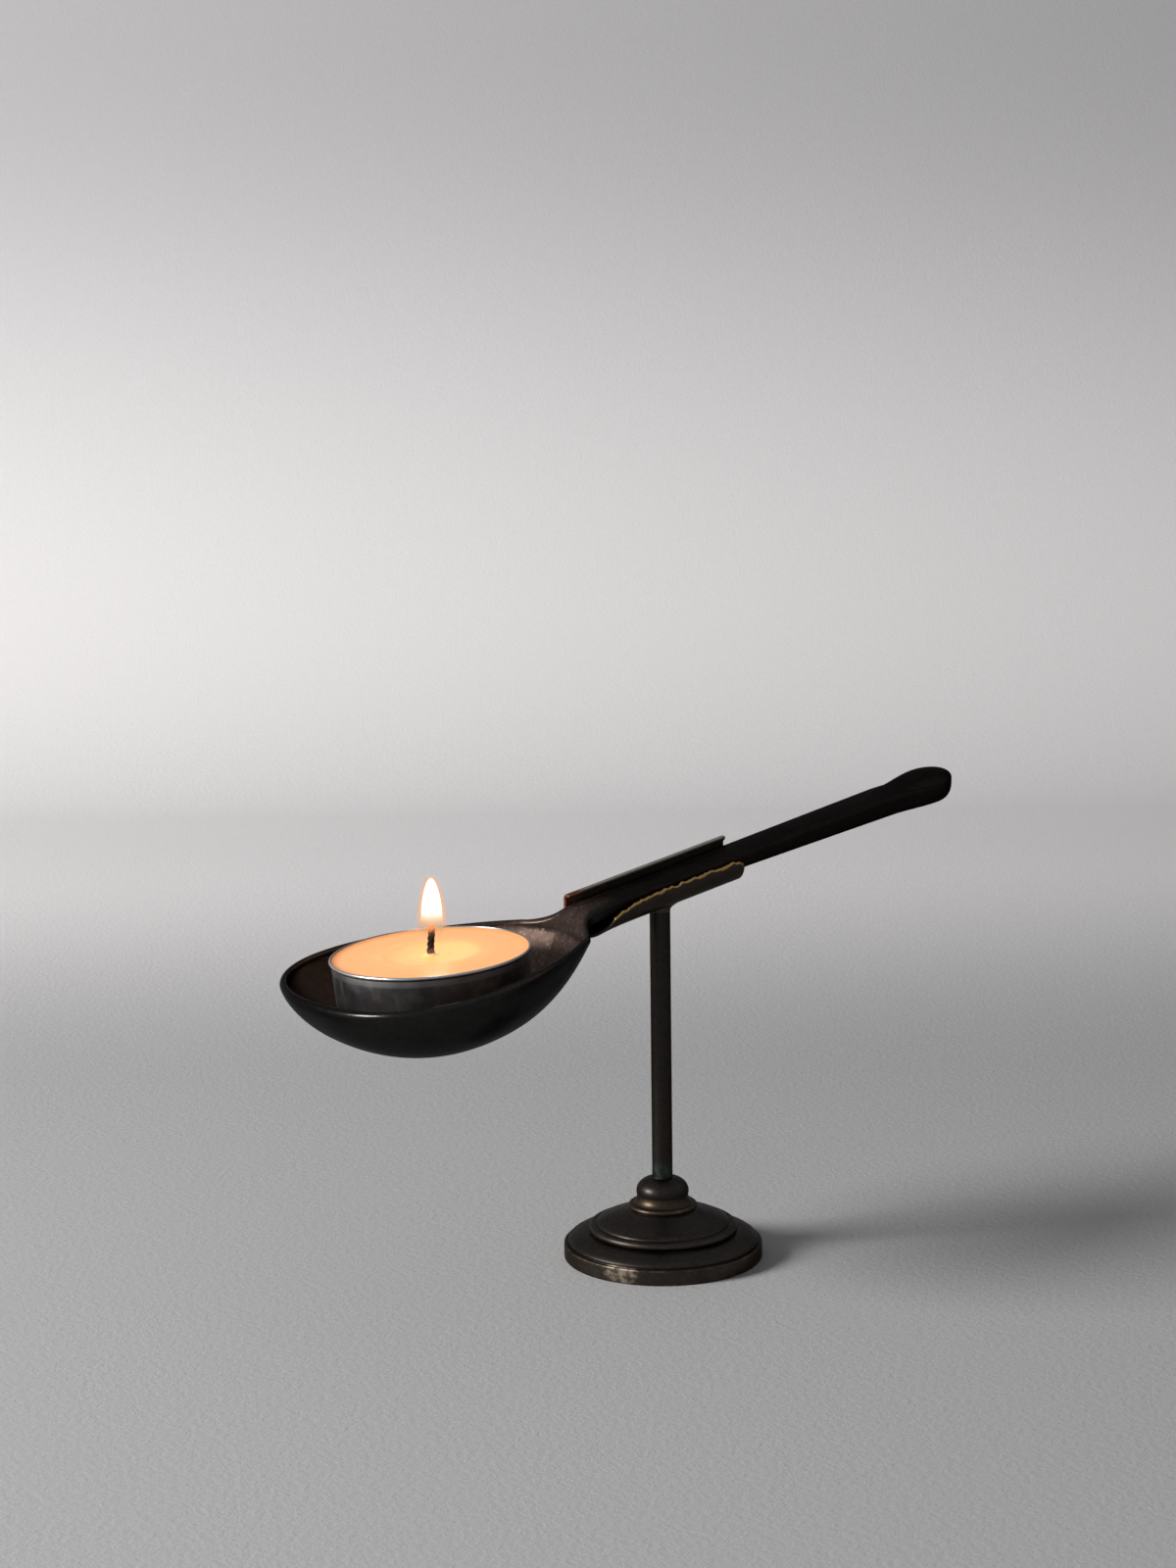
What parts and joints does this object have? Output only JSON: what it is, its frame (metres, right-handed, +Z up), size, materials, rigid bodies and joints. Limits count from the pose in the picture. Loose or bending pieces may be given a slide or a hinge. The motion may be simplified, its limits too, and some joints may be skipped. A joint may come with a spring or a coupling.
{
  "type": "candle stand",
  "caption": "Low candle stand: a turned round foot and a slim post carry a bent metal clip that holds a deep spoon, whose bowl holds a tealight.",
  "frame": {"origin": "centre of the foot's flat underside, on the surface the stand rests on", "axes": "+Z up along the post; +X along the spoon, from the bowl towards the handle's end, seen from above; +Y to the side where the clip's lip is folded over the handle"},
  "size_m": [0.1549, 0.0544, 0.0923],
  "materials": {
    "base": "turned, darkened by age, worn brighter on the band's edge",
    "post": "drawn rod, darkened by age",
    "clip": "bent sheet, nearly black, with a bare golden cut edge",
    "spoon": "dark brown-black patina, faintly brushed",
    "candle_cup": "thin drawn foil, bright",
    "wax": "paraffin, peach, with a clear melt pool",
    "wick_sustainer": "tinplate",
    "wick": "braided cotton, burnt black"
  },
  "bodies": {
    "stand": {"base": "base", "post": "post", "clip": "clip", "spoon": "spoon"},
    "tealight": {"candle_cup": "candle_cup", "wax": "wax", "wick_sustainer": "wick_sustainer", "wick": "wick"}
  },
  "joints": [
    {"name": "tealight_lift", "type": "slide", "parent": "stand", "child": "tealight", "axis": [-0.0732, 0, 0.9973], "range_m": [0, 0.03]}
  ]
}
